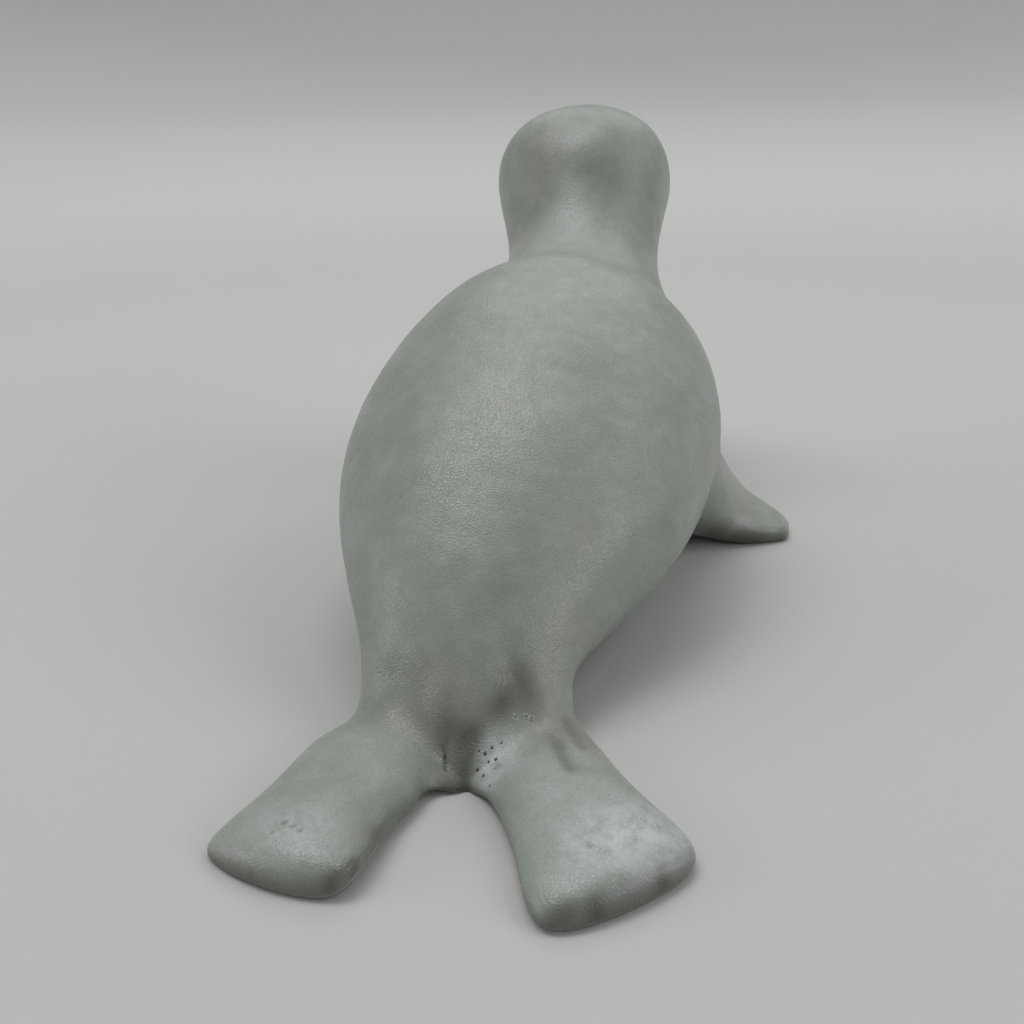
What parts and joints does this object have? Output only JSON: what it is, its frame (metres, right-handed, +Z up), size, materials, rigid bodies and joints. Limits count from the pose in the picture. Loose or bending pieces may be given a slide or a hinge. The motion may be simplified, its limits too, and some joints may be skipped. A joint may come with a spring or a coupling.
{
  "type": "seal figurine",
  "caption": "Glazed ceramic figurine of a seal lying on its belly with its head raised and its rear flippers spread, made in one piece.",
  "frame": {"origin": "middle of the figure's outline seen from above, on the surface it stands on", "axes": "+X to the seal's left, +Y from its nose towards its rear flippers, +Z up"},
  "size_m": [0.1178, 0.235, 0.1072],
  "materials": {
    "glaze": "matt grey-green glaze, semi-matt sheen"
  },
  "bodies": {
    "root": {"seal": "glaze"}
  },
  "joints": []
}
